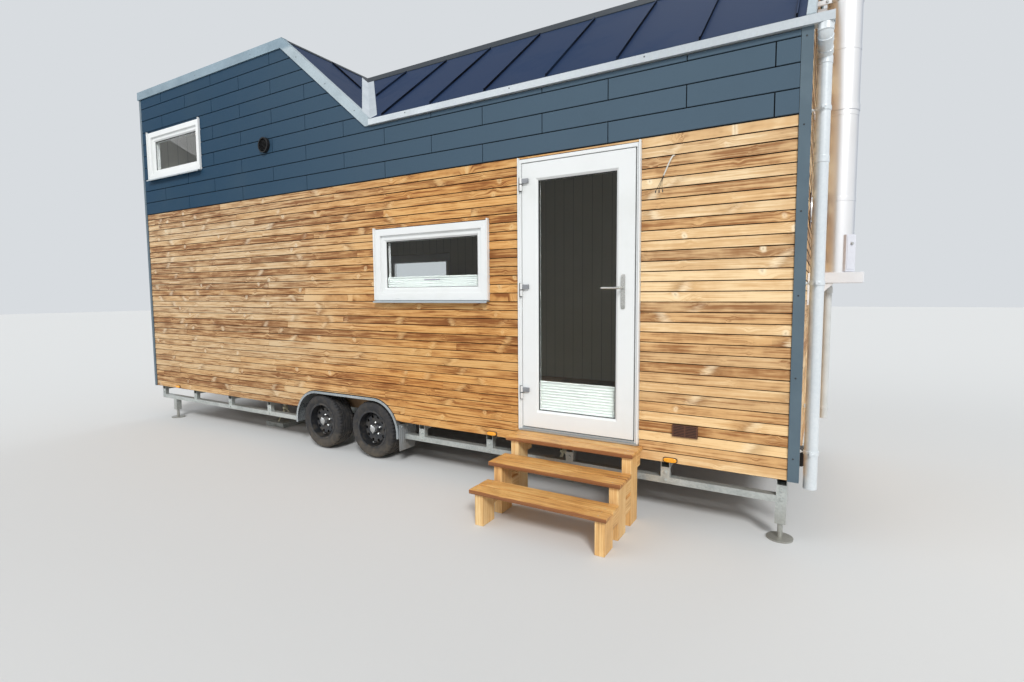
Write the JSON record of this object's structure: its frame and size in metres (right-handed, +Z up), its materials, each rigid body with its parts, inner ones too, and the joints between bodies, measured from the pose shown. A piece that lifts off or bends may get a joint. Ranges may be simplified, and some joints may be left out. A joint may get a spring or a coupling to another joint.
{
  "type": "tiny house on a trailer",
  "caption": "small timber-clad house on a two-axle trailer, with a sleeping loft under a flat roof, a folded standing-seam roof, a glazed outward door, windows, a flue and a wooden step",
  "frame": {"origin": "on the ground under the middle of the whole object's box, steps and flue included", "axes": "+X along the house towards the door end with the flue, +Y from the door side to the back, +Z up"},
  "size_m": [7.527, 3.3022, 5.25],
  "materials": {
    "galvanised_steel": "hot-dip galvanised, dull spangle",
    "tyre_rubber": "black road rubber, dusty",
    "rim_paint": "dark satin paint",
    "flap_rubber": "grey weathered rubber",
    "stand_paint": "pale zinc yellow, worn",
    "pad_concrete": "rough grey concrete",
    "amber_lens": "clear moulded lens",
    "red_lens": "clear moulded lens",
    "floor_wood": "oiled floorboards",
    "wall_paint": "white painted boards inside",
    "board_wood": "heat-treated softwood, weathered",
    "siding_slate": "through-coloured fibre cement, matt",
    "trim_paint": "grey coated sheet, satin",
    "roof_paint": "dark coated steel, satin",
    "window_pvc": "white extruded profile",
    "clear_glass": "clear double glazing",
    "blind_fabric": "pleated white cloth",
    "sill_metal": "natural anodised",
    "handle_metal": "satin anodised",
    "vent_plastic": "dark moulded, matt",
    "step_wood": "planed larch, fresh",
    "flue_steel": "polished stainless",
    "cable_sheath": "pale flexible sheath"
  },
  "bodies": {
    "house": {"chassis_rails": "galvanised_steel", "crossmembers": "galvanised_steel", "axles": "galvanised_steel", "mudguards": "galvanised_steel", "corner_steadies": "galvanised_steel", "edge_trims": "galvanised_steel", "gutters": "galvanised_steel", "downpipes": "galvanised_steel", "valley_flashing": "galvanised_steel", "mud_flaps": "flap_rubber", "support_stands": "stand_paint", "stand_pads": "pad_concrete", "side_markers": "amber_lens", "tail_lamps": "red_lens", "floor_deck": "floor_wood", "front_wall_left": "wall_paint", "front_wall_over_door": "wall_paint", "front_wall_right": "wall_paint", "back_wall": "wall_paint", "loft_end_wall": "wall_paint", "door_end_wall": "wall_paint", "roof_flat": "wall_paint", "roof_front_slope": "wall_paint", "roof_side_slope": "wall_paint", "cladding_front": "board_wood", "cladding_back": "board_wood", "cladding_loft_end": "board_wood", "cladding_door_end": "board_wood", "siding_front": "siding_slate", "siding_back": "siding_slate", "siding_loft_end": "siding_slate", "corner_trims": "trim_paint", "sheet_flat": "roof_paint", "sheet_front_slope": "roof_paint", "sheet_side_slope": "roof_paint", "ridge_caps": "roof_paint", "window_frames_low": "window_pvc", "window_frames_loft": "window_pvc", "door_frame": "window_pvc", "window_glass": "clear_glass", "window_blind": "blind_fabric", "sills": "sill_metal", "vents": "vent_plastic", "step_treads": "step_wood", "step_sides": "step_wood", "flue": "flue_steel", "lamp_cable": "cable_sheath"},
    "door": {"door_leaf": "window_pvc", "door_glass": "clear_glass", "door_blind": "blind_fabric", "door_plates": "handle_metal"},
    "handle": {"door_handle": "handle_metal"},
    "wheel_fore_near": {"tyre_fore_near": "tyre_rubber", "rim_fore_near": "rim_paint"},
    "wheel_aft_near": {"tyre_aft_near": "tyre_rubber", "rim_aft_near": "rim_paint"},
    "wheel_fore_far": {"tyre_fore_far": "tyre_rubber", "rim_fore_far": "rim_paint"},
    "wheel_aft_far": {"tyre_aft_far": "tyre_rubber", "rim_aft_far": "rim_paint"}
  },
  "joints": [
    {"name": "door_swing", "type": "hinge", "parent": "house", "child": "door", "pos_m": [1.597, -0.97515, 1.4925], "axis": [0, 0, -1], "range_deg": [0, 100]},
    {"name": "handle_turn", "type": "hinge", "parent": "door", "child": "handle", "pos_m": [2.3745, -0.93085, 1.547], "axis": [0, -1, 0], "range_deg": [0, 40], "stiffness_Nm_per_rad": 2, "springref_deg": -57.3},
    {"name": "wheel_fore_near_spin", "type": "hinge", "parent": "house", "child": "wheel_fore_near", "pos_m": [-0.692, -0.83835, 0.275], "axis": [0, 1, 0], "continuous": true},
    {"name": "wheel_aft_near_spin", "type": "hinge", "parent": "house", "child": "wheel_aft_near", "pos_m": [-0.017, -0.83835, 0.275], "axis": [0, 1, 0], "continuous": true},
    {"name": "wheel_fore_far_spin", "type": "hinge", "parent": "house", "child": "wheel_fore_far", "pos_m": [-0.692, 1.45265, 0.275], "axis": [0, 1, 0], "continuous": true},
    {"name": "wheel_aft_far_spin", "type": "hinge", "parent": "house", "child": "wheel_aft_far", "pos_m": [-0.017, 1.45265, 0.275], "axis": [0, 1, 0], "continuous": true}
  ]
}
